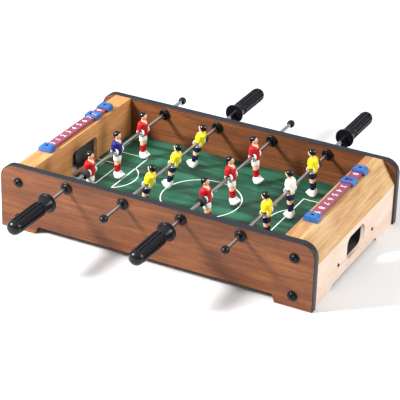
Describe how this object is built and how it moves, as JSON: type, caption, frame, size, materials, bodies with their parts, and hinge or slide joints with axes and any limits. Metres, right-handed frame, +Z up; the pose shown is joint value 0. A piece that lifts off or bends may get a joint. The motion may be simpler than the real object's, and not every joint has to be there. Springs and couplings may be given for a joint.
{
  "type": "tabletop foosball table",
  "caption": "Small tabletop foosball table: wooden box on low feet, crossing rods with player figures, black handles, sliding scorers, goals and ball outlets.",
  "frame": {"origin": "on the surface the table stands on, under the centre of the cabinet", "axes": "+X along the cabinet towards the right end, +Y from the front panel to the back panel along the rods, +Z up"},
  "size_m": [0.51, 0.604, 0.1228],
  "materials": {
    "walnut_foil": "satin printed wood-grain foil",
    "black_edging": "satin",
    "oak_foil": "satin printed wood-grain foil",
    "printed_field": "satin printed sheet",
    "fibreboard": "raw",
    "pine": "planed, raw",
    "black_plastic": "satin moulded",
    "rubber": "matte",
    "black_steel": "black oxide",
    "brass": "machined",
    "steel": "zinc plated",
    "chrome_rod": "polished plating",
    "maroon_plastic": "moulded",
    "blue_plastic": "moulded",
    "red_figure": "moulded and painted",
    "yellow_figure": "moulded and painted",
    "navy_figure": "moulded and painted",
    "white_figure": "moulded and painted"
  },
  "bodies": {
    "cabinet": {"side_panel_front": "walnut_foil", "edge_band_front": "black_edging", "side_panel_back": "walnut_foil", "edge_band_back": "black_edging", "field_sheet": "printed_field", "field_board": "fibreboard", "field_battens": "pine", "inner_board_left": "oak_foil", "top_board_left": "oak_foil", "slope_board_left": "oak_foil", "outer_board_left": "oak_foil", "goal_chute_left": "black_plastic", "inner_board_right": "oak_foil", "top_board_right": "oak_foil", "slope_board_right": "oak_foil", "outer_board_right": "oak_foil", "goal_chute_right": "black_plastic", "corner_blocks": "pine", "panel_bolts": "black_steel", "bolt_washers": "black_steel", "threaded_inserts": "brass", "chute_screws": "steel", "rod_sleeves": "black_plastic", "sleeve_rings": "black_plastic", "scorer_bar_left": "maroon_plastic", "scorer_bar_right": "maroon_plastic", "scorer_brackets": "blue_plastic", "scorer_screws": "steel"},
    "rod_1_travel": {"bumper_1": "rubber"},
    "rod_1_turn": {"rod_1": "chrome_rod", "handle_1": "black_plastic", "end_cap_1": "black_plastic", "figure_1_front": "red_figure", "figure_1_middle": "navy_figure", "figure_1_back": "red_figure"},
    "rod_2_travel": {"bumper_2": "rubber"},
    "rod_2_turn": {"rod_2": "chrome_rod", "handle_2": "black_plastic", "end_cap_2": "black_plastic", "figure_2_front": "yellow_figure", "figure_2_middle": "yellow_figure", "figure_2_back": "yellow_figure"},
    "rod_3_travel": {"bumper_3": "rubber"},
    "rod_3_turn": {"rod_3": "chrome_rod", "handle_3": "black_plastic", "end_cap_3": "black_plastic", "figure_3_front": "red_figure", "figure_3_middle": "red_figure", "figure_3_back": "red_figure"},
    "rod_4_travel": {"bumper_4": "rubber"},
    "rod_4_turn": {"rod_4": "chrome_rod", "handle_4": "black_plastic", "end_cap_4": "black_plastic", "figure_4_front": "yellow_figure", "figure_4_middle": "white_figure", "figure_4_back": "yellow_figure"},
    "score_left": {"scorer_slider_left": "blue_plastic"},
    "score_right": {"scorer_slider_right": "blue_plastic"}
  },
  "joints": [
    {"name": "rod_1_slide", "type": "slide", "parent": "cabinet", "child": "rod_1_travel", "axis": [0, 1, 0], "range_m": [-0.031, 0.047]},
    {"name": "rod_1_spin", "type": "hinge", "parent": "rod_1_travel", "child": "rod_1_turn", "pos_m": [-0.141, 0, 0.091], "axis": [0, 1, 0], "continuous": true},
    {"name": "rod_2_slide", "type": "slide", "parent": "cabinet", "child": "rod_2_travel", "axis": [0, 1, 0], "range_m": [-0.04, 0.038]},
    {"name": "rod_2_spin", "type": "hinge", "parent": "rod_2_travel", "child": "rod_2_turn", "pos_m": [-0.047, 0, 0.091], "axis": [0, 1, 0], "continuous": true},
    {"name": "rod_3_slide", "type": "slide", "parent": "cabinet", "child": "rod_3_travel", "axis": [0, 1, 0], "range_m": [-0.042, 0.036]},
    {"name": "rod_3_spin", "type": "hinge", "parent": "rod_3_travel", "child": "rod_3_turn", "pos_m": [0.047, 0, 0.091], "axis": [0, 1, 0], "continuous": true},
    {"name": "rod_4_slide", "type": "slide", "parent": "cabinet", "child": "rod_4_travel", "axis": [0, 1, 0], "range_m": [-0.047, 0.031]},
    {"name": "rod_4_spin", "type": "hinge", "parent": "rod_4_travel", "child": "rod_4_turn", "pos_m": [0.141, 0, 0.091], "axis": [0, 1, 0], "continuous": true},
    {"name": "score_left_slide", "type": "slide", "parent": "cabinet", "child": "score_left", "axis": [0, 1, 0], "range_m": [-0.117, 0.019]},
    {"name": "score_right_slide", "type": "slide", "parent": "cabinet", "child": "score_right", "axis": [0, 1, 0], "range_m": [-0.112, 0.024]}
  ]
}
